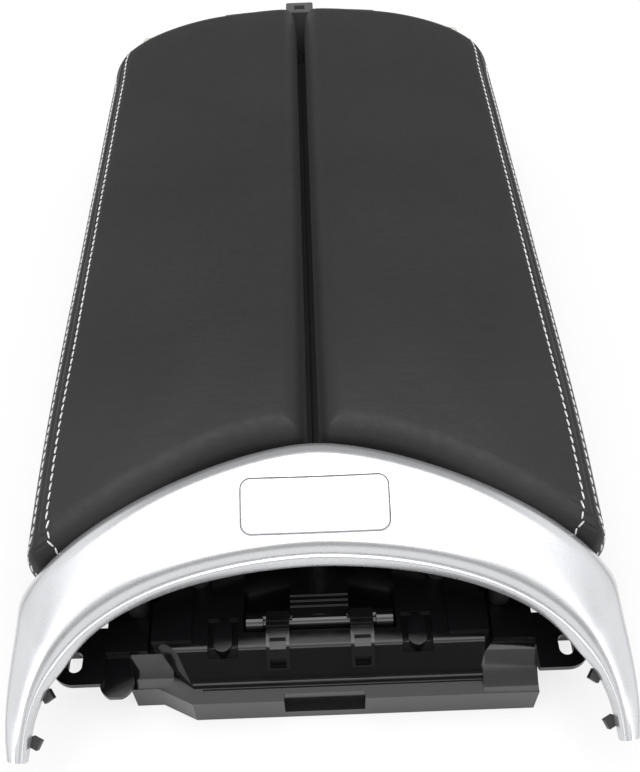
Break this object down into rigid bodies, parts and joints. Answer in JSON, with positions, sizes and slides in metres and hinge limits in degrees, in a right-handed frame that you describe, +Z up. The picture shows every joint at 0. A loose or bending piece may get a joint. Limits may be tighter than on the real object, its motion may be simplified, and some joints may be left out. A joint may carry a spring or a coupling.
{
  "type": "center console lid",
  "caption": "Split armrest lid for a car's centre console: padded half lids hinged at their outer sides on a carrier frame, with a satin trim arch, a push button and latches.",
  "frame": {"origin": "on the plane the carrier rests on, under the middle of the bounding box", "axes": "+X to the right, +Y towards the rear of the car, +Z up"},
  "size_m": [0.2372, 0.4425, 0.09],
  "materials": {
    "frame_plastic": "matt grained dark grey",
    "housing_black": "glossy black moulding",
    "silver_trim": "satin silver paint",
    "button_silver": "satin silver paint",
    "clip_plastic": "black",
    "hidden_plastic": "black, hidden under the arch",
    "mechanism_black": "glossy black moulding",
    "stop_rubber": "soft black",
    "pale_caps": "pale, slightly translucent",
    "hinge_steel": "plain zinc-plated",
    "small_steel": "plain zinc-plated",
    "lid_plastic": "black moulding",
    "liner_plastic": "fine grained black",
    "pad_leather": "black grained, two rows of white stitching"
  },
  "bodies": {
    "frame": {"carrier_frame": "frame_plastic", "front_housing": "housing_black", "trim_arch": "silver_trim", "trim_tip_clips": "clip_plastic", "button_guide": "hidden_plastic", "trim_brackets": "hidden_plastic", "release_bracket": "mechanism_black", "trim_screws": "small_steel", "housing_screws": "small_steel", "latch_pins": "small_steel", "hinge_rod_left": "hinge_steel", "hinge_rod_right": "hinge_steel", "hinge_bracket_front_left": "hinge_steel", "hinge_bracket_rear_left": "hinge_steel", "hinge_bracket_front_right": "hinge_steel", "hinge_bracket_rear_right": "hinge_steel", "bracket_screws": "small_steel", "hinge_spring_left": "hinge_steel", "hinge_spring_right": "hinge_steel", "latch_spring_left": "small_steel", "latch_spring_right": "small_steel", "rocker_spring": "small_steel", "bump_stops": "stop_rubber", "tab_end_caps": "pale_caps"},
    "lid_left": {"lid_shell_left": "lid_plastic", "lid_pad_left": "pad_leather", "lid_liner_left": "liner_plastic", "striker_left": "small_steel", "lid_screws_left": "small_steel"},
    "lid_right": {"lid_shell_right": "lid_plastic", "lid_pad_right": "pad_leather", "lid_liner_right": "liner_plastic", "striker_right": "small_steel", "lid_screws_right": "small_steel"},
    "button": {"release_button": "button_silver"},
    "rocker": {"release_rocker": "mechanism_black"},
    "latch_body_left": {"latch_left": "small_steel"},
    "latch_body_right": {"latch_right": "small_steel"}
  },
  "joints": [
    {"name": "lid_right_hinge", "type": "hinge", "parent": "frame", "child": "lid_right", "pos_m": [0.097, 0, 0.046], "axis": [0, 1, 0], "range_deg": [0, 85]},
    {"name": "lid_left_hinge", "type": "hinge", "parent": "frame", "child": "lid_left", "pos_m": [-0.097, 0, 0.046], "axis": [0, -1, 0], "range_deg": [0, 85]},
    {"name": "button_press", "type": "slide", "parent": "frame", "child": "button", "axis": [0, 0.3681, -0.9298], "range_m": [0, 0.003], "stiffness_N_per_m": 900, "springref_m": -0.002},
    {"name": "rocker_turn", "type": "hinge", "parent": "frame", "child": "rocker", "pos_m": [0, -0.165, 0.027], "axis": [1, 0, 0], "range_deg": [-3.75, 0], "deforming": ["rocker_spring"]},
    {"name": "latch_left_turn", "type": "hinge", "parent": "frame", "child": "latch_body_left", "pos_m": [-0.022, -0.1092, 0.036], "axis": [1, 0, 0], "range_deg": [0, 14.8], "deforming": ["latch_spring_left"]},
    {"name": "latch_right_turn", "type": "hinge", "parent": "frame", "child": "latch_body_right", "pos_m": [0.022, -0.1092, 0.036], "axis": [1, 0, 0], "range_deg": [0, 14.8], "deforming": ["latch_spring_right"]}
  ],
  "couplings": [
    {"joint": "rocker_turn", "follows": "button_press", "rad_per_m": -21.3},
    {"joint": "latch_left_turn", "follows": "button_press", "rad_per_m": 84},
    {"joint": "latch_right_turn", "follows": "button_press", "rad_per_m": 84}
  ]
}
